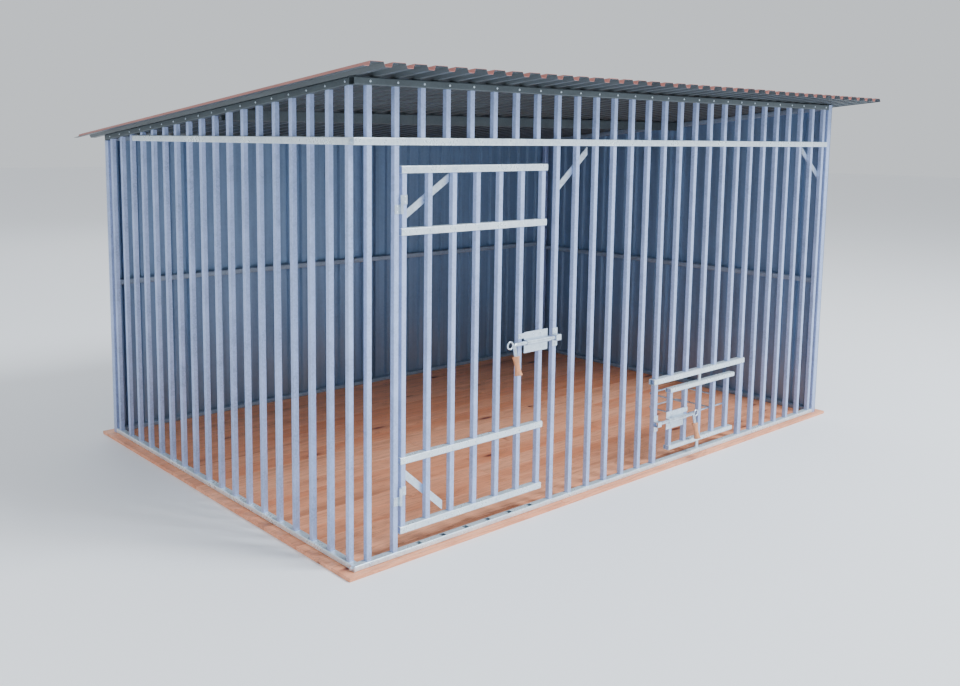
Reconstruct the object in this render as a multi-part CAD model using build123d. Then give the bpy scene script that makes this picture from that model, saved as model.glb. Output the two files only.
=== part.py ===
"""Free-standing barred animal pen with a sheet roof, a barred door and a turning feeder hatch.

Frame: the origin lies in the middle of the floor's underside, +X runs along the long front from
the open left side to the closed right side, +Y runs from the barred front to the closed rear, and
+Z is up.  All sizes are in millimetres.  Distances called "from the left" start at the left face
of the steel frame, and distances called "from the front" start at its front face.
"""
from build123d import *
import math
import os

# ---------------------------------------------------------------- driving dimensions
LENGTH = 3000.0            # steel frame, left face to right face
DEPTH = 2000.0             # steel frame, front face to rear face
BAR_PITCH = 110.0          # bar to bar, both barred walls, the door and the hatch
FIRST_FRONT_BAR = 62.0     # centre of the first front bar, from the left
FIRST_LEFT_BAR = 50.0      # centre of the first left bar, from the front
FRONT_BARS = 27
LEFT_BARS = 18

FLOOR_T = 14.0             # floor boards
FLOOR_OVER_X = 38.0        # floor past the frame at the left and right
FLOOR_OVER_Y = 24.0        # floor past the frame at the front and rear
BOARD_ROWS = 19
BOARD_GAP = 1.2
BATTEN_W = 60.0
BATTEN_T = 7.0

RAIL_H = 25.0              # rail tube, height
BASE_H = 20.0              # bottom rails of the walls, height
RAIL_D = 30.0              # rail tube, depth through the wall
BAR = 20.0                 # square bar tube
TUBE_T = 1.5               # tube wall
PUNCH = 0.25               # clearance all round between a bar and its punched hole

MID_Z = 1419.0             # centre of the front and left middle rails
ROOF_Z = 1621.0            # underside of the roof sheet over the frame's front face
ROOF_FALL = 0.0954         # drop per millimetre towards the rear
REAR_MID_Z = 740.0         # centre of the rear middle rail
RIGHT_MID_Z = 715.0        # centre of the right middle rail
PURLIN_Y = 880.0           # front face of the purlin, from the front
PURLIN_H = 45.0

RIB_PITCH = 83.2           # trapezoidal sheet
RIB_H = 15.0
RIB_CREST = 48.0
RIB_FLANK = 6.5
SHEET_T = 1.2              # measured upright to the sheet's flats
LAP = SHEET_T + 0.1        # rise of a sheet that laps over its neighbours
ROOF_OVER_LEFT = 84.0
ROOF_OVER_FRONT = 165.0
ROOF_OVER_REAR = 138.0

DOOR_LEFT = 204.6          # centre of the hinge stile, from the left
DOOR_BAYS = 6
DOOR_RAILS_Z = (105.0, 348.0, 1124.0, 1328.0)
DOOR_RAIL_END = 5.0        # rail past the stile's face
HINGE_X = 188.5            # hinge axis, from the left
HINGE_Y = -1.5             # hinge axis, from the front (negative is outside)
HINGE_Z = (227.0, 1215.0)
HINGE_HALF = 31.0          # height of one half of a hinge
HINGE_REACH = 25.5         # leaf past the hinge axis
HINGE_SCREW_X = 16.5       # screws from the hinge axis
HINGE_SCREW_Z = (7.0, 24.0)
KNUCKLE_R = 6.0
HINGE_PIN_R = 3.0
HINGE_FIT = 0.06

HATCH_FIRST_BAR = 16       # panel bars stand in line with front bars 16 to 20
HATCH_LAST_BAR = 20
HATCH_RAILS_Z = (81.0, 340.0)
HATCH_RAIL_H = 20.0
HATCH_END_LEFT = 12.5      # rail past the centre of the panel's outer bar
HATCH_END_RIGHT = 44.0
HEADER_Z = 395.5
PIVOT_R = 7.5
RACK_BARS = (17, 19)       # the bowl rack stands behind these panel bars
RACK_DEPTH = 196.0         # bowl rack, from the panel's middle plane
RACK_Z = (200.0, 265.0)
RACK_ROD_R = 4.0

BOLT_R = 7.0               # locking rod
BOLT_FIT = 0.08
BOLT_OFF = 12.0            # rod axis in front of the bars' faces
BOLT_TRAVEL = 52.0
BOLT_WALL = 3.0            # channel wall round the rod
FLANGE_T = 2.5
HANDLE_LEAN = 26.0         # handle's foot in front of the rod
HANDLE_DROP = 107.0        # handle's foot under the rod
DOOR_LOCK_Z = 680.0
HATCH_LOCK_Z = 210.0
PLATE_INNER = 90.6         # plate from the outer bar's centre towards the handle
PLATE_OUTER = 35.4         # plate from the outer bar's centre towards the keeper
PLATE_UP = 38.0
PLATE_DOWN = 41.0
KEEPER_W = 26.0
KEEPER_PLAY = 1.8          # room all round the rod in a keeper
KEEPER_UP = 35.0
ROD_GAP = 4.0              # rod tip to keeper, with the bolt withdrawn
ROD_BEND = 9.5             # radius of the rod's bend into its handle
EYE_R = 13.5
EYE_ROD_R = 3.2
GRIP_R = 15.0
GRIP_WAIST_R = 10.5
GRIP_L = 71.0
GRIP_BORE_R = 4.5
GRIP_CHAMFER = 3.0
TANG_L = 61.0              # rod end inside the grip
BRACE_W = 25.0
BRACE_T = 4.0
WALL_BRACE_TOP = 31.0      # upper ends under the middle rail's centre
LEFT_BRACE = (18.0, 141.0, 167.0)    # lower end from bar 9's centre, fall and run
RIGHT_BRACE = (10.0, 137.0, 178.0)   # lower end from bar 27's centre, fall and run
DOOR_BRACE_Z = (1160.0, 317.0)       # stile ends of the door's upper and lower brace
RIVET_R = 4.0
RIVET_H = 2.2

RAIL_Y = RAIL_D / 2                  # middle plane of the front wall, from the front
BAR_FACE = (RAIL_D - BAR) / 2        # front of the bars, from the front
HALF = BAR / 2


# ---------------------------------------------------------------- helpers
def fx(distance):
    """X of a distance from the frame's left face."""
    return distance - LENGTH / 2


def fy(distance):
    """Y of a distance from the frame's front face."""
    return distance - DEPTH / 2


def front_bar(number):
    """X of a front bar's centre, counted from 1 at the left."""
    return fx(FIRST_FRONT_BAR + (number - 1) * BAR_PITCH)


def left_bar(number):
    """Y of a left bar's centre, counted from 1 at the front."""
    return fy(FIRST_LEFT_BAR + (number - 1) * BAR_PITCH)


def roof_under(y):
    """Height of the roof sheet's underside at a row Y."""
    return ROOF_Z - ROOF_FALL * (y + DEPTH / 2)


def block(x0, x1, y0, y1, z0, z1):
    """Box between two corners."""
    centre = ((x0 + x1) / 2, (y0 + y1) / 2, (z0 + z1) / 2)
    return Pos(*centre) * Box(abs(x1 - x0), abs(y1 - y0), abs(z1 - z0))


def tube(start, end, across, side, up, radius=4.0, wall=TUBE_T):
    """Rectangular tube from start to end: `side` wide along the direction `across`, `up` high."""
    a = Vector(*start)
    b = Vector(*end)
    plane = Plane(origin=a, x_dir=across, z_dir=b - a)
    inner = RectangleRounded(side - 2 * wall, up - 2 * wall, radius - wall)
    section = plane * (RectangleRounded(side, up, radius) - inner)
    return extrude(section, amount=(b - a).length)


def rail_x(x0, x1, y, z, height=RAIL_H):
    """Rail along X with its middle at y and z."""
    return tube((x0, y, z), (x1, y, z), (0, 1, 0), RAIL_D, height)


def rail_y(x, y0, y1, z, height=RAIL_H):
    """Rail along Y with its middle at x and z."""
    return tube((x, y0, z), (x, y1, z), (1, 0, 0), RAIL_D, height)


def bar_z(x, y, z0, z1):
    """Square bar tube standing at x, y."""
    return tube((x, y, z0), (x, y, z1), (1, 0, 0), BAR, BAR, radius=2.5)


def punch(x, y, z0, z1):
    """Cutter for a punched bar hole."""
    half = HALF + PUNCH
    return block(x - half, x + half, y - half, y + half, z0, z1)


def punched(rail, places, z0, z1):
    """Rail with a bar hole at each (x, y) place, between two heights."""
    return rail - [punch(x, y, z0, z1) for x, y in places]


def cylinder(start, direction, radius, length):
    """Cylinder from a start point along a direction."""
    plane = Plane(origin=Vector(*start), z_dir=Vector(*direction))
    return extrude(plane * Circle(radius), amount=length)


def dome(point, direction, radius, height):
    """Low rivet head that stands on a surface at a point."""
    plane = Plane(origin=Vector(*point), z_dir=Vector(*direction))
    top = plane.offset(height)
    return loft([plane * Circle(radius), top * Circle(radius * 0.55)])


def hex_head(point, direction, across_flats, height):
    """Hexagon screw head with a washer that stands on a surface at a point."""
    plane = Plane(origin=Vector(*point), z_dir=Vector(*direction))
    washer = extrude(plane * Circle(across_flats * 0.85), amount=1.2)
    head = plane.offset(1.2) * RegularPolygon(across_flats / math.sqrt(3), 6)
    return washer + extrude(head, amount=height)


def rod_path(points, radius, bend):
    """Round rod swept along straight runs with rounded corners."""
    path = FilletPolyline(*points, radius=bend)
    return sweep(Plane(origin=path @ 0, z_dir=path % 0) * Circle(radius), path=path)


nodes = {}


def add(name, *shapes):
    """Keep one node, as a single solid or as a group of separate solids."""
    solids = []
    for shape in shapes:
        solids.extend(shape.solids())
    nodes[name] = solids[0] if len(solids) == 1 else Compound(children=solids)


# ---------------------------------------------------------------- floor
FLOOR_X = (fx(-FLOOR_OVER_X), fx(LENGTH + FLOOR_OVER_X))
FLOOR_Y = (fy(-FLOOR_OVER_Y), fy(DEPTH + FLOOR_OVER_Y))
BATTENS_X = (fx(180.0), fx(830.0), fx(1300.0), fx(1700.0), fx(2170.0), fx(2820.0))
BUTT_JOINTS = (0.335, 0.62, 0.46, 0.72)      # places of the butt joint, in turn, along the floor


def batten(x, slack=0.0):
    """Batten let flush into the underside of the boards."""
    return block(x - BATTEN_W / 2 - slack, x + BATTEN_W / 2 + slack,
                 FLOOR_Y[0] + 60 - slack, FLOOR_Y[1] - 60 + slack, 0, BATTEN_T + slack)


def floor_boards():
    """Rows of boards along X, each row in two lengths."""
    row_w = (FLOOR_Y[1] - FLOOR_Y[0] + BOARD_GAP) / BOARD_ROWS
    boards = []
    for row in range(BOARD_ROWS):
        y0 = FLOOR_Y[0] + row * row_w
        joint = FLOOR_X[0] + BUTT_JOINTS[row % len(BUTT_JOINTS)] * (FLOOR_X[1] - FLOOR_X[0])
        for x0, x1 in ((FLOOR_X[0], joint - BOARD_GAP / 2), (joint + BOARD_GAP / 2, FLOOR_X[1])):
            board = block(x0, x1, y0, y0 + row_w - BOARD_GAP, 0, FLOOR_T)
            boards.append(board - [batten(x, 0.1) for x in BATTENS_X if x0 < x + 50 and x - 50 < x1])
    return boards


add("floor_boards", *floor_boards())
add("floor_battens", *[batten(x) for x in BATTENS_X])

# ---------------------------------------------------------------- frame rails and posts
BASE_Z = FLOOR_T + BASE_H / 2                 # middle of the bottom rails
FRONT_Y = fy(RAIL_Y)
LEFT_X = fx(RAIL_D / 2)
WALL_IN = RIB_H + SHEET_T + LAP               # room that the wall sheets take
RIGHT_X = fx(LENGTH - WALL_IN - RAIL_D / 2)
REAR_Y = fy(DEPTH - WALL_IN - RAIL_D / 2)
POST_X0 = fx(LENGTH - WALL_IN - RAIL_D)       # left face of the right posts
RAIL_BACK = fy(RAIL_D)                        # rear face of the front wall
REAR_FACE = fy(DEPTH - WALL_IN - RAIL_D)      # front face of the rear frame
TOP_Z = roof_under(RAIL_BACK) - RAIL_H / 2 - 0.3
REAR_TOP_Z = roof_under(fy(DEPTH)) - RAIL_H / 2 - 0.3
BAR_FOOT = FLOOR_T + TUBE_T + 0.2             # bars stand inside the bottom rails
DOOR_GAP = range(3, 9)                        # front bars that the doorway cuts short
HATCH_GAP = range(HATCH_FIRST_BAR, HATCH_LAST_BAR + 1)
FULL_FRONT = [n for n in range(1, FRONT_BARS + 1) if n not in DOOR_GAP and n not in HATCH_GAP]


def front_places(numbers):
    """Places of the named front bars."""
    return [(front_bar(n), FRONT_Y) for n in numbers]


def roof_rail_z(y):
    """Middle of a sloping roof rail at a row Y."""
    return roof_under(y) - RAIL_H / 2 / math.cos(math.atan(ROOF_FALL)) - 0.3


def front_rails():
    """Bottom, middle and top rails of the front wall, with their punched holes."""
    every = [n for n in range(1, FRONT_BARS + 1) if n not in HATCH_GAP]
    bottom = rail_x(fx(0), POST_X0 - 0.2, FRONT_Y, BASE_Z, BASE_H)
    bottom = punched(bottom, front_places(every), BASE_Z, BASE_Z + BASE_H)
    pivot = (HATCH_FIRST_BAR + HATCH_LAST_BAR) // 2
    bottom -= cylinder((front_bar(pivot), FRONT_Y, BASE_Z), (0, 0, 1), PIVOT_R + HINGE_FIT, BASE_H)
    middle = rail_x(fx(0), POST_X0 - 0.2, FRONT_Y, MID_Z)
    through = [n for n in range(1, FRONT_BARS + 1)]
    middle = punched(middle, front_places(through), MID_Z - RAIL_H, MID_Z + RAIL_H)
    top = rail_x(fx(0), POST_X0 - 0.2, FRONT_Y, TOP_Z)
    top = punched(top, front_places(through), TOP_Z - RAIL_H, TOP_Z)
    return bottom, middle, top


def left_rails():
    """Bottom, middle and sloping top rails of the left wall, with their punched holes."""
    y0 = RAIL_BACK + 0.2
    places = [(LEFT_X, left_bar(n)) for n in range(1, LEFT_BARS + 1)]
    bottom = rail_y(LEFT_X, y0, REAR_FACE - 0.2, BASE_Z, BASE_H)
    bottom = punched(bottom, places, BASE_Z, BASE_Z + BASE_H)
    ends = [(LEFT_X, y, roof_rail_z(y)) for y in (y0 - 40, fy(DEPTH - WALL_IN - 1.5))]
    top = tube(ends[0], ends[1], (1, 0, 0), RAIL_D, RAIL_H)
    top -= block(fx(-50), fx(100), y0 - 150, y0, 1000, 2000)
    for x, y in places:
        top -= punch(x, y, roof_rail_z(y) - 2 * RAIL_H, roof_rail_z(y))
    reach = (ROOF_Z - RAIL_H - 5 - MID_Z - RAIL_H / 2) / ROOF_FALL
    middle = rail_y(LEFT_X, y0, fy(reach), MID_Z)
    middle = punched(middle, places, MID_Z - RAIL_H, MID_Z + RAIL_H)
    return bottom, middle, top


def rear_rails():
    """Bottom, middle and top rails between the rear posts."""
    side = RAIL_D + 0.2
    spans = ((fx(side), fx(LENGTH / 2 - RAIL_D / 2 - 0.2)),
             (fx(LENGTH / 2 + RAIL_D / 2 + 0.2), POST_X0 - 0.2))
    rails = [rail_x(x0, x1, REAR_Y, BASE_Z, BASE_H) for x0, x1 in spans]
    rails += [rail_x(x0, x1, REAR_Y, REAR_MID_Z) for x0, x1 in spans]
    rails.append(rail_x(fx(side), POST_X0 - 0.2, REAR_Y, REAR_TOP_Z))
    return rails


def right_rails():
    """Bottom, middle and sloping top rails of the right wall."""
    y0 = RAIL_BACK + 0.2
    rails = [rail_y(RIGHT_X, y0, REAR_FACE - 0.2, BASE_Z, BASE_H),
             rail_y(RIGHT_X, y0, REAR_FACE - 0.2, RIGHT_MID_Z)]
    ends = [(RIGHT_X, y, roof_rail_z(y)) for y in (y0 - 40, fy(DEPTH - WALL_IN - 1.5))]
    top = tube(ends[0], ends[1], (1, 0, 0), RAIL_D, RAIL_H)
    rails.append(top - block(RIGHT_X - 60, RIGHT_X + 60, y0 - 150, y0, 1000, 2000))
    return rails


def post(x, y, z1):
    """Square post tube on the floor."""
    return tube((x, y, FLOOR_T), (x, y, z1), (1, 0, 0), RAIL_D, RAIL_D)


def posts():
    """Front right, rear left, rear middle and rear right posts."""
    corner_z = roof_rail_z(REAR_FACE) - RAIL_H / 2 - 4
    front_z = roof_under(FRONT_Y + RAIL_Y) - 0.4
    middle_z = REAR_TOP_Z - RAIL_H / 2 - 0.2
    return (post(RIGHT_X, FRONT_Y, front_z), post(LEFT_X, REAR_Y, corner_z),
            post(fx(LENGTH / 2), REAR_Y, middle_z), post(RIGHT_X, REAR_Y, corner_z))


def purlin():
    """Tube under the middle of the roof, between the two sloping rails."""
    y = fy(PURLIN_Y) + RAIL_D / 2
    z = roof_under(y + RAIL_D / 2) - PURLIN_H / 2 - 0.3
    x0 = fx(RAIL_D) + 0.2
    return tube((x0, y, z), (POST_X0 - 0.2, y, z), (0, 1, 0), RAIL_D, PURLIN_H)


for rail_name, rail_solid in zip(("bottom", "mid", "top"), front_rails()):
    add("front_" + rail_name + "_rail", rail_solid)
for rail_name, rail_solid in zip(("bottom", "mid", "top"), left_rails()):
    add("left_" + rail_name + "_rail", rail_solid)
add("rear_rails", *rear_rails())
add("right_rails", *right_rails())
add("corner_posts", *posts())
add("roof_purlin", purlin())

# ---------------------------------------------------------------- bars
BAR_TOP = TOP_Z + RAIL_H / 2 - TUBE_T - 0.6


def front_bar_group(numbers, foot):
    """Front bars with the given numbers, from a foot height into the top rail."""
    return [bar_z(x, y, foot, BAR_TOP) for x, y in front_places(numbers)]


def left_bar_group():
    """Left bars, each cut to the slope of the roof rail that it stands in."""
    heights = [(left_bar(n), roof_rail_z(left_bar(n)) + RAIL_H / 2 - TUBE_T - 2.4)
               for n in range(1, LEFT_BARS + 1)]
    return [bar_z(LEFT_X, y, BAR_FOOT, z) for y, z in heights]


add("front_bars_left", *front_bar_group([n for n in FULL_FRONT if n < 3], BAR_FOOT))
add("front_bars_middle", *front_bar_group([n for n in FULL_FRONT if 8 < n < 16], BAR_FOOT))
add("front_bars_right", *front_bar_group([n for n in FULL_FRONT if n > 20], BAR_FOOT))
add("front_bars_over_door", *front_bar_group(DOOR_GAP, MID_Z - RAIL_H / 2 + TUBE_T + 0.2))
add("front_bars_over_hatch", *front_bar_group(HATCH_GAP, HEADER_Z + 0.2))
add("left_bars", *left_bar_group())


# ---------------------------------------------------------------- trapezoidal sheets
VALLEY = RIB_PITCH - RIB_CREST - 2 * RIB_FLANK
EDGE = 3.0                                    # short flat past a sheet's end rib


def rib_outline(ribs, first_flat, last_flat):
    """Points of a sheet's lower face across its ribs, with the valleys at height 0."""
    points = [(0.0, 0.0)]
    u = first_flat
    for rib in range(ribs):
        points += [(u, 0.0), (u + RIB_FLANK, RIB_H)]
        u += RIB_FLANK + RIB_CREST
        points += [(u, RIB_H), (u + RIB_FLANK, 0.0)]
        u += RIB_FLANK + (VALLEY if rib < ribs - 1 else last_flat)
    points.append((u, 0.0))
    return points


def sheet_face(points):
    """Closed face between an outline and the same outline raised by the sheet's thickness."""
    raised = [(u, v + SHEET_T) for u, v in reversed(points)]
    return make_face(Polyline(*points, *raised, points[0]))


def lapped_sheets(plane, length, ribs, count, first_flat, last_flat=EDGE):
    """Sheets side by side on a plane; every second one lies higher and laps its neighbours."""
    sheets = []
    for index in range(count):
        last = index == count - 1
        start = 0.0 if index == 0 else first_flat - EDGE + index * ribs * RIB_PITCH
        points = rib_outline(ribs if last else ribs + 1, first_flat if index == 0 else EDGE,
                             last_flat if last else EDGE)
        origin = plane.origin + plane.x_dir * start + plane.y_dir * (LAP * (index % 2))
        seat = Plane(origin=origin, x_dir=plane.x_dir, z_dir=plane.z_dir)
        sheets.append(extrude(seat * sheet_face(points), amount=length))
    return sheets


ROOF_RIBS = 13
ROOF_SHEETS = 3
ROOF_FLAT = 18.0                              # flat past the roof's first rib
ROOF_REAR = fy(DEPTH + ROOF_OVER_REAR)
ROOF_NORMAL = Vector(0, ROOF_FALL, 1).normalized()
ROOF_LENGTH = (DEPTH + ROOF_OVER_FRONT + ROOF_OVER_REAR) * math.hypot(1, ROOF_FALL)
ROOF_START = Vector(fx(-ROOF_OVER_LEFT), ROOF_REAR, roof_under(ROOF_REAR))
ROOF_PLANE = Plane(origin=ROOF_START, x_dir=(1, 0, 0), z_dir=Vector(1, 0, 0).cross(ROOF_NORMAL))
REAR_PLANE = Plane(origin=(fx(1.5), fy(DEPTH - WALL_IN), FLOOR_T), x_dir=(1, 0, 0), z_dir=(0, 0, 1))
RIGHT_PLANE = Plane(origin=(fx(LENGTH - WALL_IN), fy(DEPTH - WALL_IN - 1), FLOOR_T),
                    x_dir=(0, -1, 0), z_dir=(0, 0, 1))
REAR_SHEET_TOP = roof_under(fy(DEPTH)) - 1.0


def rear_sheets():
    """Rear wall sheets, up to the underside of the roof."""
    return lapped_sheets(REAR_PLANE, REAR_SHEET_TOP - FLOOR_T, 12, 3, 11.0, 11.0)


def right_sheets():
    """Right wall sheets, cut to the slope of the roof."""
    over = Plane(origin=(0, fy(0), ROOF_Z - 1.0), x_dir=(1, 0, 0),
                 z_dir=Vector(0, ROOF_FALL, 1))
    keep_out = extrude(over * Rectangle(2 * LENGTH, 3 * DEPTH), amount=400)
    raw = lapped_sheets(RIGHT_PLANE, ROOF_Z - FLOOR_T, 12, 2, EDGE)
    return [sheet - keep_out for sheet in raw]


def roof_point(across, y, height):
    """Point over the roof plane, at a distance across it from its left edge and a row Y."""
    run = (ROOF_REAR - y) * math.hypot(1, ROOF_FALL)
    return ROOF_START + Vector(across, 0, 0) + ROOF_PLANE.z_dir * run + ROOF_NORMAL * height


def roof_screws():
    """Screws through every third valley, in lines over the top rails and the purlin."""
    screws = []
    for rib in range(1, ROOF_RIBS * ROOF_SHEETS, 3):
        across = ROOF_FLAT + rib * RIB_PITCH - VALLEY / 2
        height = SHEET_T + LAP * (rib // ROOF_RIBS % 2)
        for y in (FRONT_Y, fy(PURLIN_Y + RAIL_Y), REAR_Y):
            screws.append(hex_head(roof_point(across, y, height), ROOF_NORMAL, 8.0, 5.0))
    return screws


for sheet_index, solid in enumerate(lapped_sheets(ROOF_PLANE, ROOF_LENGTH, ROOF_RIBS, ROOF_SHEETS,
                                                  ROOF_FLAT)):
    add("roof_sheet_" + str(sheet_index + 1), solid)
add("rear_sheets", *rear_sheets())
add("right_sheets", *right_sheets())
add("roof_screws", *roof_screws())

# ---------------------------------------------------------------- front frame fittings
FRONT = (0, -1, 0)
FACE_Y = fy(BAR_FACE)                         # front faces of the bars
BACK_Y = fy(BAR_FACE + BAR)                   # rear faces of the bars


def rail_rivets():
    """Rivet heads on the rails, one at every bar."""
    heads = []
    for number in range(1, FRONT_BARS + 1):
        x = front_bar(number)
        levels = [MID_Z, TOP_Z]
        if number not in DOOR_GAP and number not in HATCH_GAP:
            levels.append(BASE_Z)
        heads += [dome((x, fy(0), z), FRONT, RIVET_R, RIVET_H) for z in levels]
    for number in range(1, LEFT_BARS + 1):
        y = left_bar(number)
        levels = [BASE_Z, roof_rail_z(y)] + ([MID_Z] if number < 16 else [])
        heads += [dome((fx(0), y, z), (-1, 0, 0), RIVET_R, RIVET_H) for z in levels]
    return heads


def brace(start, end):
    """Flat strap behind the bars, with ends cut along the bars."""
    (x0, z0), (x1, z1) = start, end
    rise = BRACE_W / 2 * math.hypot(x1 - x0, z1 - z0) / abs(x1 - x0)
    face = make_face(Polyline((x0, z0 - rise), (x1, z1 - rise), (x1, z1 + rise), (x0, z0 + rise),
                              (x0, z0 - rise)))
    plane = Plane(origin=(0, BACK_Y, 0), x_dir=(1, 0, 0), z_dir=(0, -1, 0))
    return extrude(plane * face, amount=-BRACE_T)


def wall_braces():
    """Braces between the middle rail and the bars, right of the door and at the right end."""
    top = MID_Z - WALL_BRACE_TOP
    left_end = (front_bar(9) + LEFT_BRACE[0], top - LEFT_BRACE[1])
    right_end = (front_bar(FRONT_BARS) + RIGHT_BRACE[0], top - RIGHT_BRACE[1])
    return (brace(left_end, (left_end[0] + LEFT_BRACE[2], top)),
            brace((right_end[0] - RIGHT_BRACE[2], top), right_end))


def corner_bolts():
    """End caps and bolts where the front rails end at the left corner."""
    pieces = []
    for z, height in ((BASE_Z, BASE_H), (MID_Z, RAIL_H)):
        cap = block(fx(-2.5), fx(0), fy(0), fy(RAIL_D), z - height / 2, z + height / 2)
        pieces.append(cap)
        pieces.append(hex_head((fx(-2.5), FRONT_Y, z), (-1, 0, 0), 10.0, 6.0))
    return pieces


add("rail_rivets", *rail_rivets())
add("wall_braces", *wall_braces())
add("corner_caps", *corner_bolts())

# ---------------------------------------------------------------- door
STILES = (fx(DOOR_LEFT), fx(DOOR_LEFT + DOOR_BAYS * BAR_PITCH))
DOOR_BARS = [fx(DOOR_LEFT + k * BAR_PITCH) for k in range(1, DOOR_BAYS)]
DOOR_FOOT = DOOR_RAILS_Z[0] - RAIL_H / 2 + TUBE_T + 0.2
DOOR_HEAD = DOOR_RAILS_Z[-1] + RAIL_H / 2 - TUBE_T - 0.2


def panel_rails(x0, x1, heights, bars, size=RAIL_H):
    """Rails of a barred panel; the outer two keep their outer wall, the others are punched through."""
    rails = []
    for z in heights:
        low = z if z == heights[0] else z - size
        high = z if z == heights[-1] else z + size
        rail = rail_x(x0, x1, FRONT_Y, z, size)
        rails.append(punched(rail, [(x, FRONT_Y) for x in bars], low, high))
    return rails


def panel_rivets(heights, bars):
    """Rivet heads on a barred panel, one where each bar crosses a rail."""
    return [dome((x, fy(0), z), FRONT, RIVET_R, RIVET_H) for z in heights for x in bars]


def hinge_leaf(side, z0, z1):
    """Hinge leaf with its knuckle, on the bar at the given side of the axis (-1 left, 1 right)."""
    x = fx(HINGE_X)
    y = fy(HINGE_Y)
    knuckle = cylinder((x, y, z0), (0, 0, 1), KNUCKLE_R, z1 - z0)
    reach = x + side * HINGE_REACH
    leaf = block(x + side * 1.0, reach, FACE_Y - FLANGE_T, FACE_Y, z0, z1)
    return knuckle + leaf


def hinge_frame_halves():
    """Lower hinge halves on the wall bar, each with its pin standing up."""
    halves = []
    for z in HINGE_Z:
        pin = cylinder((fx(HINGE_X), fy(HINGE_Y), z - 2), (0, 0, 1), HINGE_PIN_R, HINGE_HALF - 2)
        halves.append(hinge_leaf(-1, z - HINGE_HALF, z - 0.4) + pin)
    return halves


def hinge_door_halves():
    """Upper hinge halves on the door, bored for the pin."""
    halves = []
    for z in HINGE_Z:
        bore = cylinder((fx(HINGE_X), fy(HINGE_Y), z - 5), (0, 0, 1), HINGE_PIN_R + HINGE_FIT, 33.5)
        halves.append(hinge_leaf(1, z, z + HINGE_HALF) - bore)
    return halves


def hinge_screws(side, levels):
    """Screw heads on the hinge leaves of one side."""
    x = fx(HINGE_X) + side * HINGE_SCREW_X
    return [dome((x, FACE_Y - FLANGE_T, z), FRONT, 3.4, 1.6) for z in levels]


def door_braces():
    """Corner straps behind the hinge stile and the first two bars."""
    x0 = STILES[0] - HALF + 1
    x1 = DOOR_BARS[1] - HALF - 2
    return (brace((x0, DOOR_BRACE_Z[0]), (x1, DOOR_RAILS_Z[3] - 30.0)),
            brace((x0, DOOR_BRACE_Z[1]), (x1 - 16, DOOR_RAILS_Z[0] + 34.0)))


add("door_stiles", *[bar_z(x, FRONT_Y, DOOR_FOOT, DOOR_HEAD) for x in STILES])
add("door_bars", *[bar_z(x, FRONT_Y, DOOR_FOOT, DOOR_HEAD) for x in DOOR_BARS])
DOOR_UPRIGHTS = [STILES[0]] + DOOR_BARS + [STILES[1]]
DOOR_ENDS = (STILES[0] - HALF - DOOR_RAIL_END, STILES[1] + HALF + DOOR_RAIL_END)
add("door_rails", *panel_rails(*DOOR_ENDS, DOOR_RAILS_Z, DOOR_UPRIGHTS))
add("door_braces", *door_braces())
add("door_rivets", *panel_rivets(DOOR_RAILS_Z, DOOR_UPRIGHTS))
add("hinge_frame_halves", *hinge_frame_halves())
add("hinge_frame_screws", *hinge_screws(-1, [z - d for z in HINGE_Z for d in HINGE_SCREW_Z]))
add("hinge_door_halves", *hinge_door_halves())
add("hinge_door_screws", *hinge_screws(1, [z + d for z in HINGE_Z for d in HINGE_SCREW_Z]))

# ---------------------------------------------------------------- sliding bolts
def hat_strip(x0, x1, z, up, down):
    """Hat-shaped strip along X on the bars' faces: two flanges and a channel round the rod."""
    outer = BOLT_R + BOLT_FIT + BOLT_WALL
    inner = BOLT_R + BOLT_FIT
    axis_y = FACE_Y - BOLT_OFF
    body = cylinder((x0, axis_y, z), (1, 0, 0), outer, x1 - x0)
    body += block(x0, x1, axis_y, FACE_Y, z - outer, z + outer)
    body += block(x0, x1, FACE_Y - FLANGE_T, FACE_Y, z - down, z + up)
    body -= cylinder((x0, axis_y, z), (1, 0, 0), inner, x1 - x0)
    return body - block(x0, x1, axis_y, FACE_Y, z - inner, z + inner)


def bolt_plate(bar_x, z, side):
    """Bolt plate on a panel's outer bar; side is the direction from the bar to the keeper."""
    ends = sorted((bar_x + side * PLATE_OUTER, bar_x - side * PLATE_INNER))
    plate = hat_strip(ends[0], ends[1], z, PLATE_UP, PLATE_DOWN)
    next_bar = bar_x - side * (BAR_PITCH + HALF)
    inner_end = bar_x - side * PLATE_INNER
    tongue = block(next_bar, inner_end, FACE_Y - FLANGE_T, FACE_Y, z + PLATE_UP - 22, z + PLATE_UP - 3)
    return plate + tongue


def bolt_rod(bar_x, z, side, reach):
    """Rod with its handle and padlock eye; reach is from the outer bar to the withdrawn tip."""
    y = FACE_Y - BOLT_OFF
    tip = bar_x + side * reach
    handle = bar_x - side * (PLATE_INNER + ROD_BEND + 1.0 + BOLT_TRAVEL)
    bend = Vector(handle, y, z)
    foot = bend + Vector(0, -HANDLE_LEAN, -HANDLE_DROP)
    lean = (foot - bend).normalized()
    neck = bend + lean * (HANDLE_DROP * 1.02 - GRIP_L + 4)
    rod = rod_path([(tip, y, z), bend, neck], BOLT_R, ROD_BEND)
    tang = cylinder(neck, lean, GRIP_BORE_R, TANG_L)
    eye = Pos(handle - side * (BOLT_R + EYE_R - 1.0), y, z) * Rot(90, 0, 0) * Torus(EYE_R, EYE_ROD_R)
    return rod + tang + eye, neck, lean


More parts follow.
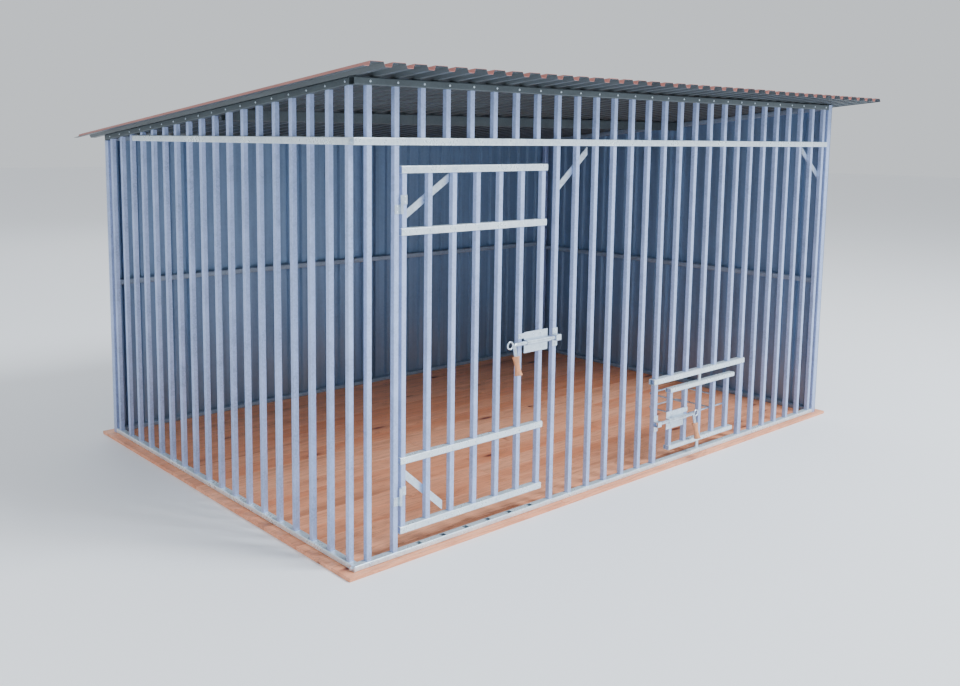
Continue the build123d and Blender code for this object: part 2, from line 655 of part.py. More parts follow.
def grip(neck, lean):
    """Turned grip with a waist, bored for the rod's tang."""
    low = (GRIP_R, GRIP_CHAMFER)
    high = (GRIP_R, GRIP_L - GRIP_CHAMFER)
    waist = Spline(low, (GRIP_WAIST_R, GRIP_L / 2), high)
    inner = Polyline(high, (GRIP_R - GRIP_CHAMFER, GRIP_L), (0, GRIP_L), (0, TANG_L + 1),
                     (GRIP_BORE_R, TANG_L + 1), (GRIP_BORE_R, 0), (GRIP_R - GRIP_CHAMFER, 0), low)
    body = revolve(Plane.XZ * make_face(waist.edges() + inner.edges()), axis=Axis.Z)
    return Plane(origin=neck, x_dir=(1, 0, 0), z_dir=lean).location * body


def bolt_rivets(bar_x, z, side):
    """Rivets of a bolt plate, with larger heads on the bar it crosses."""
    face = FACE_Y - FLANGE_T
    heads = []
    for dz in (PLATE_UP - 12, 13 - PLATE_DOWN):
        heads.append(dome((bar_x, face, z + dz), FRONT, 5.0, 3.0))
        for dx in (side * 24, -side * 40):
            heads.append(dome((bar_x + dx, face, z + dz), FRONT, 3.4, 2.2))
    heads.append(dome((bar_x - side * BAR_PITCH, face, z + PLATE_UP - 12), FRONT, 4.4, 3.0))
    return heads


def keeper(bar_x, z):
    """Keeper on a wall bar: a square bridge over the rod between two flanges."""
    x0 = bar_x - KEEPER_W / 2
    x1 = bar_x + KEEPER_W / 2
    axis_y = FACE_Y - BOLT_OFF
    inner = BOLT_R + KEEPER_PLAY
    outer = inner + BOLT_WALL
    bridge = block(x0, x1, axis_y - outer, FACE_Y, z - outer, z + outer)
    front_edges = bridge.edges().filter_by(Axis.X).group_by(Axis.Y)[0]
    bridge = chamfer(front_edges, BOLT_WALL * 0.8)
    bridge += block(x0, x1, FACE_Y - FLANGE_T, FACE_Y, z - KEEPER_UP, z + KEEPER_UP)
    return bridge - block(x0, x1, axis_y - inner, FACE_Y, z - inner, z + inner)


def keeper_screws(bar_x, z):
    """Screws of a keeper."""
    return [dome((bar_x, FACE_Y - FLANGE_T, z + dz), FRONT, 5.0, 3.0)
            for dz in (KEEPER_UP - 9, 9 - KEEPER_UP)]


def add_bolt(prefix, bar_x, wall_x, z):
    """Add every node of one sliding bolt."""
    side = 1 if wall_x > bar_x else -1
    reach = abs(wall_x - bar_x) - KEEPER_W / 2 - ROD_GAP
    rod, neck, lean = bolt_rod(bar_x, z, side, reach)
    add(prefix + "_bolt_plate", bolt_plate(bar_x, z, side))
    add(prefix + "_bolt_rivets", *bolt_rivets(bar_x, z, side))
    add(prefix + "_bolt_rod", rod)
    add(prefix + "_bolt_grip", grip(neck, lean))
    add(prefix + "_keeper", keeper(wall_x, z))
    add(prefix + "_keeper_screws", *keeper_screws(wall_x, z))


add_bolt("door", STILES[1], front_bar(9), DOOR_LOCK_Z)
add_bolt("hatch", front_bar(HATCH_FIRST_BAR), front_bar(HATCH_FIRST_BAR - 1), HATCH_LOCK_Z)

# ---------------------------------------------------------------- feeder hatch
HATCH_BARS = [front_bar(n) for n in HATCH_GAP]
PIVOT_X = HATCH_BARS[2]
HATCH_BASE, HATCH_TOP = HATCH_RAILS_Z


def header():
    """Rail over the hatch, punched for the bars that end in it and bored for the upper pivot."""
    x0 = front_bar(HATCH_FIRST_BAR - 1) - 23
    x1 = front_bar(HATCH_LAST_BAR + 1) + 15
    rail = rail_x(x0, x1, FRONT_Y, HEADER_Z)
    rail = punched(rail, front_places(HATCH_GAP), HEADER_Z, HEADER_Z + RAIL_H)
    rail = punched(rail, front_places((HATCH_FIRST_BAR - 1, HATCH_LAST_BAR + 1)),
                   HEADER_Z - RAIL_H, HEADER_Z + RAIL_H)
    low = (PIVOT_X, FRONT_Y, HEADER_Z - RAIL_H)
    return rail - cylinder(low, (0, 0, 1), PIVOT_R + HINGE_FIT, RAIL_H)


def header_rivets():
    """Rivet heads along the header."""
    numbers = [HATCH_FIRST_BAR - 1] + list(HATCH_GAP) + [HATCH_LAST_BAR + 1]
    return [dome((front_bar(n), fy(0), HEADER_Z), FRONT, RIVET_R, RIVET_H) for n in numbers]


def post_strips():
    """Stiffening strips on the outer sides of the bars beside the hatch."""
    z0 = FLOOR_T + BASE_H + 0.5
    z1 = HEADER_Z - RAIL_H / 2 - 0.5
    left = front_bar(HATCH_FIRST_BAR - 1) - HALF
    right = front_bar(HATCH_LAST_BAR + 1) + HALF
    return (block(left - 4, left, FACE_Y, BACK_Y, z0, z1),
            block(right, right + 6, FACE_Y, BACK_Y, z0, z1))


def pivots():
    """Pivot pins over and under the panel, the lower one with a thrust collar."""
    foot = FLOOR_T + TUBE_T + 1.5
    low = cylinder((PIVOT_X, FRONT_Y, foot), (0, 0, 1), PIVOT_R, HATCH_BASE - HATCH_RAIL_H / 2 - foot)
    low += cylinder((PIVOT_X, FRONT_Y, FLOOR_T + BASE_H + 0.5), (0, 0, 1), PIVOT_R + 3.5, 6.0)
    top = HATCH_TOP + HATCH_RAIL_H / 2
    high = cylinder((PIVOT_X, FRONT_Y, top), (0, 0, 1), PIVOT_R, HEADER_Z - 2.5 - top)
    return low, high


def bowl_rack():
    """Rod rack for a bowl behind the panel: two bent frames, two uprights and a rod along the bars."""
    x0, x1 = (front_bar(n) for n in RACK_BARS)
    back = FRONT_Y + RACK_DEPTH
    rack = None
    for z in RACK_Z:
        frame = rod_path([(x0, BACK_Y, z), (x0, back, z), (x1, back, z), (x1, BACK_Y, z)],
                         RACK_ROD_R, 22.0)
        rack = frame if rack is None else rack + frame
    for x in (x0 + 40, x1 - 40):
        rack += cylinder((x, back, RACK_Z[0]), (0, 0, 1), RACK_ROD_R, RACK_Z[1] - RACK_Z[0])
    y = BACK_Y + RACK_ROD_R
    return rack + cylinder((x0 - 12, y, RACK_Z[0]), (1, 0, 0), RACK_ROD_R, HATCH_BARS[4] - x0 + 24)


add("hatch_header", header())
add("hatch_header_rivets", *header_rivets())
add("hatch_post_strips", *post_strips())
HATCH_FOOT = HATCH_BASE - HATCH_RAIL_H / 2 + TUBE_T + 0.2
HATCH_HEAD = HATCH_TOP + HATCH_RAIL_H / 2 - TUBE_T - 0.2
add("hatch_bars", *[bar_z(x, FRONT_Y, HATCH_FOOT, HATCH_HEAD) for x in HATCH_BARS])
HATCH_ENDS = (HATCH_BARS[0] - HATCH_END_LEFT, HATCH_BARS[4] + HATCH_END_RIGHT)
add("hatch_rails", *panel_rails(*HATCH_ENDS, HATCH_RAILS_Z, HATCH_BARS, HATCH_RAIL_H))
add("hatch_rivets", *panel_rivets(HATCH_RAILS_Z, HATCH_BARS))
add("hatch_pivots", *pivots())
add("hatch_bowl_rack", bowl_rack())

# ---------------------------------------------------------------- export
os.makedirs("parts", exist_ok=True)
for node_name, node_shape in nodes.items():
    node_shape.label = node_name
    export_step(node_shape, "parts/" + node_name + ".step")
    print(node_name, len(node_shape.solids()), [round(v, 1) for v in node_shape.bounding_box().min],
          [round(v, 1) for v in node_shape.bounding_box().max])
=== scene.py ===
"""Looks for the barred pen: finishes, floor boards, fasteners, handles and the stage.

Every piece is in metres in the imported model's frame, and its size and place come from that frame.
"""
import math
import random

import bmesh
import bpy
from mathutils import Euler, Matrix, Vector


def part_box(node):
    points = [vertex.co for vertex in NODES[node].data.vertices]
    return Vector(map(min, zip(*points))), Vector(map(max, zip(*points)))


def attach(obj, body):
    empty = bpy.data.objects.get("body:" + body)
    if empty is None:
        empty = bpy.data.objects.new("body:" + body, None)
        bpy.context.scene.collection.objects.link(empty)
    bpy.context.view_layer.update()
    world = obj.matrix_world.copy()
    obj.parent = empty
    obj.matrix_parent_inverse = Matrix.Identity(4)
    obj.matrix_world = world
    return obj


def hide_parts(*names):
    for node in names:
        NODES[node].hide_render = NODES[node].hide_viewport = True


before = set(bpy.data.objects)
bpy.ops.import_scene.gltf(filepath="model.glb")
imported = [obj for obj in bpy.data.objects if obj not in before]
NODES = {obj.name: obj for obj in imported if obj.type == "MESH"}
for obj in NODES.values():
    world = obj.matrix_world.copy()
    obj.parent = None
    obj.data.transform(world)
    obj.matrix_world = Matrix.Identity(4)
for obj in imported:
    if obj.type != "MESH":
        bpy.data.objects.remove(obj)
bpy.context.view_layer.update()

bl_info = {
    "name": "Barred Pen Looks",
    "version": (1, 0, 0),
    "blender": (4, 5, 0),
    "location": "View3D > Sidebar > Pen",
    "description": "Finishes, boards, fasteners and handles for a barred pen",
    "category": "Object",
}

MM = 0.001
SEED = 11
MERGE_GAP = 0.02 * MM
FLAT_ANGLE = math.radians(1.0)
SPANGLE = 150.0

# ------------------------------------------------------------------ fasteners, as shares of their size
RIVET_SIDES = 16
SCREW_SIDES = 20
DOME_RINGS = 8
HEXAGON_RADIUS = 0.68
DOME_RADIUS = 0.80
SCREW_FLANGE = 0.22
SEAL_FLANGE = 0.95
SEAL_RADIUS = 1.12
WALL_SCREW_RADIUS = 0.85

# ------------------------------------------------------------------ sheet screws
SEAL_HEIGHT = 1.3 * MM
WALL_SCREW_HEIGHT = 5.0 * MM
ROW_ABOVE_FLOOR = 14 * MM
ROW_BELOW_TOP = 0.22
REAR_SCREWS = 12
RIGHT_SCREWS = 8
CREST_REACH = 0.06

# ------------------------------------------------------------------ turned grips
GRIP_SIDES = 48
GRIP_ROUNDING = 3.2 * MM
GRIP_ROUND_STEPS = 5
GRIP_BODY_STEPS = 40
GRIP_WAIST_POWER = 2.1
GROOVE_DEPTH = 0.7 * MM
GROOVE_PLACES = (0.11, 0.89)
GROOVE_WIDTH = 0.02

# ------------------------------------------------------------------ stage
FLOOR_HALF = 40.0
SKY_COLOUR = (0.90, 0.95, 1.0, 1.0)
SKY_STRENGTH = 0.85
LIGHT_COLOUR = (0.86, 0.93, 1.0)
LIGHT_AIM = Vector((0.0, 0.0, 0.6))
LIGHTS = (("key", (2.5, -6.5, 8.0), 4.0, 1500.0), ("fill", (-8.0, -3.5, 3.0), 7.0, 90.0),
          ("back", (2.0, 8.0, 7.0), 8.0, 160.0))

# ------------------------------------------------------------------ which node has which finish
BARS = ("corner_posts", "front_bars_left", "front_bars_middle", "front_bars_right",
        "front_bars_over_door", "front_bars_over_hatch", "left_bars", "door_stiles", "door_bars",
        "hatch_bars", "hatch_post_strips")
RAILS = ("front_bottom_rail", "front_mid_rail", "left_bottom_rail", "left_mid_rail", "door_rails",
         "hatch_rails", "hatch_header")
# Rails inside the pen get a darker zinc: painted shade under the roof
INNER_RAILS = ("rear_rails", "right_rails")
# Rails and purlin under the roof get a dark zinc: painted shade of the roof
EAVE_RAILS = ("front_top_rail", "left_top_rail", "roof_purlin")
FITTINGS = ("wall_braces", "corner_caps", "door_braces", "hinge_frame_halves", "hinge_door_halves",
            "door_bolt_plate", "door_bolt_rod", "door_keeper", "hatch_bolt_plate",
            "hatch_bolt_rod", "hatch_keeper", "hatch_pivots", "hatch_bowl_rack")
WALL_SHEETS = ("rear_sheets", "right_sheets")
ROOF_SHEETS = ("roof_sheet_1", "roof_sheet_2", "roof_sheet_3")
RIVETED = (("rail_rivets", "pen"), ("hatch_header_rivets", "pen"), ("hinge_frame_screws", "pen"),
           ("door_keeper_screws", "pen"), ("hatch_keeper_screws", "pen"), ("door_rivets", "door"),
           ("hinge_door_screws", "door"), ("door_bolt_rivets", "door"), ("hatch_rivets", "hatch"),
           ("hatch_bolt_rivets", "hatch"))


# ------------------------------------------------------------------ settings
def colour(name, default, text):
    """A colour setting."""
    return bpy.props.FloatVectorProperty(name=name, description=text, default=default, size=3,
                                         min=0.0, max=1.0, subtype="COLOR")


class PenFinish(bpy.types.PropertyGroup):
    """Colours of the pen's finishes."""
    bar_tint: colour("Bars", (0.40, 0.50, 0.76), "Galvanised bar tube")
    rail_tint: colour("Rails", (0.72, 0.84, 0.97), "Galvanised rail tube")
    # The darker tint of the rails inside is painted shade of the pen's inside under the roof
    inner_painted_shade_tint: colour("Inner rails", (0.28, 0.36, 0.47), "Dull zinc on the rails inside, darkened with painted shade")
    # The dark tint of the rails under the roof is painted shade cast by the roof
    eave_painted_shade_tint: colour("Roof rails", (0.075, 0.095, 0.105), "Painted shade of the roof on the rails under it")
    fitting_tint: colour("Fittings", (0.66, 0.76, 0.88), "Zinc plated fittings")
    sheet_tint: colour("Wall sheet", (0.18, 0.275, 0.43), "Zinc coated wall sheet")
    roof_top_tint: colour("Roof top", (0.44, 0.17, 0.145), "Enamel on the roof's upper side")
    roof_under_tint: colour("Roof underside", (0.075, 0.09, 0.098), "Primer under the roof")
    board_tint: colour("Boards", (0.78, 0.26, 0.12), "Oiled pine board")
    board_pale: colour("Board sapwood", (0.95, 0.42, 0.24), "Pale grain of the boards")
    knot_tint: colour("Knots", (0.16, 0.035, 0.025), "Knots and dark streaks")
    grip_tint: colour("Grip", (0.72, 0.30, 0.13), "Varnished turned wood")


class PenDetail(bpy.types.PropertyGroup):
    """Sizes of the small details."""
    board_edge: bpy.props.FloatProperty(name="Board edge", description="Width of the boards' broken edge",
                                        default=1.4 * MM, min=0.0, unit="LENGTH")
    washer_share: bpy.props.FloatProperty(name="Flange", description="Flange thickness of a rivet head, "
                                          "as a share of its height", default=0.3, min=0.05, max=0.9)
    grip_end: bpy.props.FloatProperty(name="Grip end", description="Radius of the grip's ends",
                                      default=15.0 * MM, unit="LENGTH")
    grip_waist: bpy.props.FloatProperty(name="Grip waist", description="Radius of the grip's waist",
                                        default=10.3 * MM, unit="LENGTH")
    grip_length: bpy.props.FloatProperty(name="Grip length", description="Length of the grip",
                                         default=71.0 * MM, unit="LENGTH")
    grip_bore: bpy.props.FloatProperty(name="Grip bore", description="Radius of the hole for the rod's tang",
                                       default=4.6 * MM, unit="LENGTH")
    grip_lean: bpy.props.FloatProperty(name="Grip lean", description="Lean of the handle from upright",
                                       default=math.atan2(26.0, 107.0), unit="ROTATION")
    screw_head: bpy.props.FloatProperty(name="Screw head", description="Width across the flats of a sheet "
                                        "screw's head", default=8.0 * MM, unit="LENGTH")


class PenStage(bpy.types.PropertyGroup):
    """Camera and floor."""
    camera_place: bpy.props.FloatVectorProperty(name="Camera", description="Where the camera stands",
                                                default=(-3.2588, -3.4543, 1.4286), subtype="TRANSLATION")
    camera_yaw: bpy.props.FloatProperty(name="Yaw", description="Turn of the camera from +Y towards +X",
                                        default=math.radians(41.016), unit="ROTATION")
    camera_dip: bpy.props.FloatProperty(name="Dip", description="Tilt of the camera below the horizon",
                                        default=math.radians(6.974), unit="ROTATION")
    camera_roll: bpy.props.FloatProperty(name="Roll", description="Roll of the camera",
                                         default=math.radians(0.565), unit="ROTATION")
    lens: bpy.props.FloatProperty(name="Lens", description="Focal length on a 36 mm sensor",
                                  default=36.10, unit="CAMERA")
    shift: bpy.props.FloatVectorProperty(name="Shift", description="Sideways and upward lens shift",
                                         default=(0.0368, -0.0900), size=2)
    floor_tint: colour("Floor", (0.93, 0.94, 0.96), "Plain studio floor")


# ------------------------------------------------------------------ material helpers
class Paint:
    """A material under construction: its node tree with short calls for the usual nodes."""

    def __init__(self, name):
        self.material = bpy.data.materials.new(name)
        self.material.use_nodes = True
        self.tree = self.material.node_tree
        self.shader = self.tree.nodes["Principled BSDF"]
        self.place = self.node("ShaderNodeTexCoord").outputs["Object"]

    def node(self, kind, **settings):
        """A new node with its settings."""
        made = self.tree.nodes.new(kind)
        for key, value in settings.items():
            setattr(made, key, value)
        return made

    def link(self, source, target):
        """A link from an output to an input."""
        self.tree.links.new(source, target)

    def feed(self, socket, value):
        """Link or set an input."""
        if isinstance(value, bpy.types.NodeSocket):
            self.link(value, socket)
        else:
            socket.default_value = value

    def stretch(self, scale, source=None):
        """Coordinates scaled along each axis."""
        made = self.node("ShaderNodeMapping")
        self.link(source or self.place, made.inputs["Vector"])
        made.inputs["Scale"].default_value = scale
        return made.outputs["Vector"]

    def noise(self, vector, scale, detail=4.0, rough=0.5, warp=0.0):
        """Noise strength, 0 to 1."""
        made = self.node("ShaderNodeTexNoise")
        self.link(vector, made.inputs["Vector"])
        made.inputs["Scale"].default_value = scale
        made.inputs["Detail"].default_value = detail
        made.inputs["Roughness"].default_value = rough
        made.inputs["Distortion"].default_value = warp
        return made.outputs["Fac"]

    def cells(self, vector, scale, output="Color"):
        """Voronoi cells: a colour for each, or the distance from its middle."""
        made = self.node("ShaderNodeTexVoronoi")
        self.link(vector, made.inputs["Vector"])
        made.inputs["Scale"].default_value = scale
        return made.outputs[output]

    def math(self, operation, first, second=0.0):
        """One sum on values."""
        made = self.node("ShaderNodeMath", operation=operation)
        self.feed(made.inputs[0], first)
        self.feed(made.inputs[1], second)
        return made.outputs[0]

    def span(self, value, low, high, to_low=0.0, to_high=1.0):
        """Value taken from one range to another, and held inside it."""
        made = self.node("ShaderNodeMapRange")
        self.link(value, made.inputs["Value"])
        for name, number in (("From Min", low), ("From Max", high), ("To Min", to_low), ("To Max", to_high)):
            made.inputs[name].default_value = number
        return made.outputs["Result"]

    def mix(self, share, first, second):
        """Colour between two colours."""
        made = self.node("ShaderNodeMix", data_type="RGBA")
        self.feed(made.inputs["Factor"], share)
        for socket, value in ((made.inputs[6], first), (made.inputs[7], second)):
            self.feed(socket, value if isinstance(value, bpy.types.NodeSocket) else (*value[:3], 1.0))
        return made.outputs[2]

    def bump(self, height, distance, strength=1.0, below=None):
        """Bump on top of another bump."""
        made = self.node("ShaderNodeBump")
        self.link(height, made.inputs["Height"])
        made.inputs["Distance"].default_value = distance
        made.inputs["Strength"].default_value = strength
        if below is not None:
            self.link(below, made.inputs["Normal"])
        return made.outputs["Normal"]

    def finish(self, colour_out, rough, metallic=0.0, normal=None, **plain):
        """Set the shader's inputs and hand over the material."""
        self.feed(self.shader.inputs["Base Color"], colour_out)
        self.feed(self.shader.inputs["Roughness"], rough)
        self.shader.inputs["Metallic"].default_value = metallic
        for name, value in plain.items():
            self.shader.inputs[name.replace("_", " ")].default_value = value
        if normal is not None:
            self.link(normal, self.shader.inputs["Normal"])
        return self.material


def shade(tint, factor):
    """A colour made lighter or darker."""
    return tuple(min(1.0, channel * factor) for channel in tint)


def galvanised(name, tint, metallic, rough):
    """Hot-dip zinc: faint crystals, soft drips along the tube and dull patches."""
    paint = Paint(name)
    patches = paint.noise(paint.place, 9.0, 5.0, 0.6)
    crystals = paint.cells(paint.place, SPANGLE)
    grey = paint.node("ShaderNodeRGBToBW")
    paint.link(crystals, grey.inputs["Color"])
    drips = paint.noise(paint.stretch((60.0, 60.0, 3.0)), 1.0, 3.0, 0.6)
    base = paint.mix(paint.span(patches, 0.32, 0.70), shade(tint, 0.80), shade(tint, 1.12))
    base = paint.mix(paint.span(grey.outputs[0], 0.2, 0.8, 0.0, 0.45), base, shade(tint, 1.28))
    base = paint.mix(paint.span(drips, 0.58, 0.78, 0.0, 0.45), base, shade(tint, 0.66))
    dull = paint.math("ADD", paint.span(patches, 0.3, 0.7, rough + 0.08, rough - 0.06),
                      paint.span(grey.outputs[0], 0.0, 1.0, -0.04, 0.06))
    fine = paint.noise(paint.place, 700.0, 3.0)
    normal = paint.bump(fine, 0.12 * MM, 0.5, paint.bump(patches, 0.5 * MM, 0.4))
    return paint.finish(base, dull, metallic, normal)


def zinc_plate(name, tint):
    """Bright zinc plate with fine scratches and a little white bloom."""
    paint = Paint(name)
    bloom = paint.noise(paint.place, 42.0, 6.0, 0.65)
    scratches = paint.noise(paint.stretch((9.0, 160.0, 420.0)), 3.0, 4.0, 0.7)
    base = paint.mix(paint.span(bloom, 0.35, 0.72), shade(tint, 0.84), shade(tint, 1.18))
    base = paint.mix(paint.span(scratches, 0.62, 0.74, 0.0, 0.4), base, shade(tint, 0.6))
    dull = paint.span(bloom, 0.3, 0.75, 0.24, 0.42)
    normal = paint.bump(scratches, 0.08 * MM, 0.5)
    return paint.finish(base, dull, 0.85, normal)


def wall_sheet(name, tint):
    """Zinc coated wall sheet: long upright streaks, water marks and a dusty foot."""
    paint = Paint(name)
    streaks = paint.noise(paint.stretch((26.0, 26.0, 0.9)), 1.0, 5.0, 0.62)
    clouds = paint.noise(paint.place, 2.3, 4.0, 0.55)
    crystals = paint.node("ShaderNodeRGBToBW")
    paint.link(paint.cells(paint.place, 95.0), crystals.inputs["Color"])
    height = paint.node("ShaderNodeSeparateXYZ")
    paint.link(paint.place, height.inputs["Vector"])
    base = paint.mix(paint.span(streaks, 0.30, 0.72), shade(tint, 0.82), shade(tint, 1.20))
    base = paint.mix(paint.span(clouds, 0.35, 0.7, 0.0, 0.5), base, shade(tint, 1.22))
    base = paint.mix(paint.span(crystals.outputs[0], 0.2, 0.8, 0.0, 0.22), base, shade(tint, 1.35))
    dust = paint.math("MULTIPLY", paint.span(height.outputs["Z"], 0.42, 0.02), paint.span(clouds, 0.3, 0.65))
    base = paint.mix(paint.math("MULTIPLY", dust, 0.5), base, (0.36, 0.33, 0.31))
    dull = paint.span(streaks, 0.3, 0.75, 0.50, 0.36)
    normal = paint.bump(streaks, 0.5 * MM, 0.35)
    return paint.finish(base, dull, 0.35, normal)


def roof_sheet(name, top, under):
    """Roof sheet: weathered red enamel above, dark grey primer underneath."""
    paint = Paint(name)
    facing = paint.node("ShaderNodeNewGeometry")
    height = paint.node("ShaderNodeSeparateXYZ")
    paint.link(facing.outputs["Normal"], height.inputs["Vector"])
    above = paint.math("GREATER_THAN", height.outputs["Z"], 0.0)
    runs = paint.noise(paint.stretch((34.0, 1.3, 30.0)), 1.0, 5.0, 0.6)
    clouds = paint.noise(paint.place, 3.1, 6.0, 0.6)
    red = paint.mix(paint.span(runs, 0.3, 0.7), shade(top, 0.78), shade(top, 1.14))
    red = paint.mix(paint.span(clouds, 0.45, 0.75, 0.0, 0.55), red, (0.52, 0.27, 0.22))
    grey = paint.mix(paint.span(runs, 0.3, 0.75), shade(under, 0.8), shade(under, 1.3))
    grey = paint.mix(paint.span(clouds, 0.5, 0.8, 0.0, 0.4), grey, shade(under, 1.6))
    base = paint.mix(above, grey, red)
    dull = paint.span(clouds, 0.3, 0.75, 0.38, 0.58)
    normal = paint.bump(clouds, 0.6 * MM, 0.3)
    return paint.finish(base, dull, 0.0, normal)


def board_wood(name, tint, pale, knot):
    """Oiled pine boards: grain along X that bends round knots, each board its own tone."""
    paint = Paint(name)
    own = paint.node("ShaderNodeAttribute", attribute_name="board")
    shift = paint.node("ShaderNodeCombineXYZ")
    for axis, factor in enumerate((37.0, 11.0, 5.0)):
        paint.link(paint.math("MULTIPLY", own.outputs["Fac"], factor), shift.inputs[axis])
    moved = paint.node("ShaderNodeVectorMath", operation="ADD")
    paint.link(paint.place, moved.inputs[0])
    paint.link(shift.outputs[0], moved.inputs[1])
    spot = moved.outputs[0]
    knots = paint.cells(paint.stretch((2.4, 8.5, 8.5), spot), 1.0, "Distance")
    core = paint.span(knots, 0.055, 0.13, 1.0, 0.0)
    halo = paint.span(knots, 0.10, 0.36, 1.0, 0.0)
    bent = paint.node("ShaderNodeCombineXYZ")
    split = paint.node("ShaderNodeSeparateXYZ")
    paint.link(paint.stretch((0.9, 15.0, 15.0), spot), split.inputs["Vector"])
    paint.link(split.outputs["X"], bent.inputs["X"])
    paint.link(paint.math("ADD", split.outputs["Y"], paint.math("MULTIPLY", halo, 0.9)), bent.inputs["Y"])
    paint.link(split.outputs["Z"], bent.inputs["Z"])
    grain = paint.noise(bent.outputs[0], 2.1, 5.0, 0.62, 0.5)
    rings = paint.math("FRACT", paint.math("MULTIPLY", grain, 7.0))
    late = paint.span(rings, 0.55, 0.98)
    fibres = paint.noise(paint.stretch((7.0, 260.0, 260.0), spot), 1.0, 3.0, 0.6)
    streak = paint.noise(paint.stretch((0.55, 6.0, 6.0), spot), 1.6, 3.0, 0.5)
    base = paint.mix(paint.span(own.outputs["Fac"], 0.0, 1.0), tint, pale)
    base = paint.mix(paint.span(streak, 0.38, 0.66, 0.0, 0.6), base, shade(pale, 1.1))
    base = paint.mix(paint.math("MULTIPLY", late, 0.55), base, shade(tint, 0.52))
    base = paint.mix(paint.span(streak, 0.60, 0.74, 0.0, 0.6), base, shade(tint, 0.42))
    base = paint.mix(paint.math("MULTIPLY", halo, 0.40), base, shade(tint, 0.45))
    base = paint.mix(core, base, knot)
    base = paint.mix(paint.span(fibres, 0.45, 0.8, 0.0, 0.25), base, shade(tint, 0.6))
    dull = paint.span(rings, 0.0, 1.0, 0.52, 0.40)
    normal = paint.bump(fibres, 0.25 * MM, 0.5, paint.bump(rings, 0.2 * MM, 0.35))
    return paint.finish(base, dull, 0.0, normal)


def grip_wood(name, tint):
    """Varnished turned handle with fine upright grain."""
    paint = Paint(name)
    grain = paint.noise(paint.stretch((150.0, 150.0, 16.0)), 1.0, 5.0, 0.6, 0.6)
    pores = paint.noise(paint.stretch((900.0, 900.0, 60.0)), 1.0, 2.0)
    base = paint.mix(paint.span(grain, 0.35, 0.68), shade(tint, 0.70), shade(tint, 1.22))
    base = paint.mix(paint.span(pores, 0.60, 0.72, 0.0, 0.45), base, shade(tint, 0.42))
    normal = paint.bump(pores, 0.1 * MM, 0.4)
    return paint.finish(base, paint.span(grain, 0.3, 0.7, 0.34, 0.26), 0.0, normal, Coat_Weight=0.35,
                        Coat_Roughness=0.12)


def seal_rubber(name):
    """Dark rubber seal under a sheet screw."""
    paint = Paint(name)
    grain = paint.noise(paint.place, 900.0, 3.0)
    base = paint.mix(paint.span(grain, 0.3, 0.7), (0.018, 0.018, 0.02), (0.045, 0.045, 0.048))
    return paint.finish(base, paint.span(grain, 0.3, 0.7, 0.62, 0.78), 0.0, paint.bump(grain, 0.1 * MM, 0.4))


# ------------------------------------------------------------------ mesh helpers
def add_piece(name, mesh, material, body, slot_name, *stands_for):
    """A finished mesh as a piece of the object that rides on a body."""
    mesh.materials.clear()
    mesh.materials.append(material)
    piece = bpy.data.objects.new(name, mesh)
    bpy.context.scene.collection.objects.link(piece)
    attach(piece, body)
    if stands_for:
        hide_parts(*stands_for)
    return piece


def merged_copy(node):
    """A CAD node's mesh as one bmesh with joined corners."""
    work = bmesh.new()
    work.from_mesh(NODES[node].data)
    bmesh.ops.remove_doubles(work, verts=work.verts, dist=MERGE_GAP)
    return work


def loose_parts(work):
    """Lists of vertices, one for each separate solid in a bmesh."""
    seen = set()
    parts = []
    for start in work.verts:
        if start in seen:
            continue
        seen.add(start)
        stack = [start]
        part = []
        while stack:
            vertex = stack.pop()
            part.append(vertex)
            for edge in vertex.link_edges:
                other = edge.other_vert(vertex)
                if other not in seen:
                    seen.add(other)
                    stack.append(other)
        parts.append(part)
    return parts


def seats(node):
    """Where each fastener of a CAD node sits: foot, outward direction, radius and height."""
    work = merged_copy(node)
    found = []
    for part in loose_parts(work):
        faces = {face for vertex in part for face in vertex.link_faces}
        flat = {}
        for face in faces:
            key = tuple(round(value, 2) for value in face.normal)
            flat[key] = flat.get(key, 0.0) + face.calc_area()
        inward = Vector(max(flat, key=flat.get)).normalized()
        centre = sum((vertex.co for vertex in part), Vector()) / len(part)
        reach = [(vertex.co - centre).dot(-inward) for vertex in part]
        foot = centre - inward * min(reach)
        radius = max(((vertex.co - centre) - inward * (vertex.co - centre).dot(inward)).length
                     for vertex in part)
        found.append((foot, -inward, radius, max(reach) - min(reach)))
    work.free()
    return found


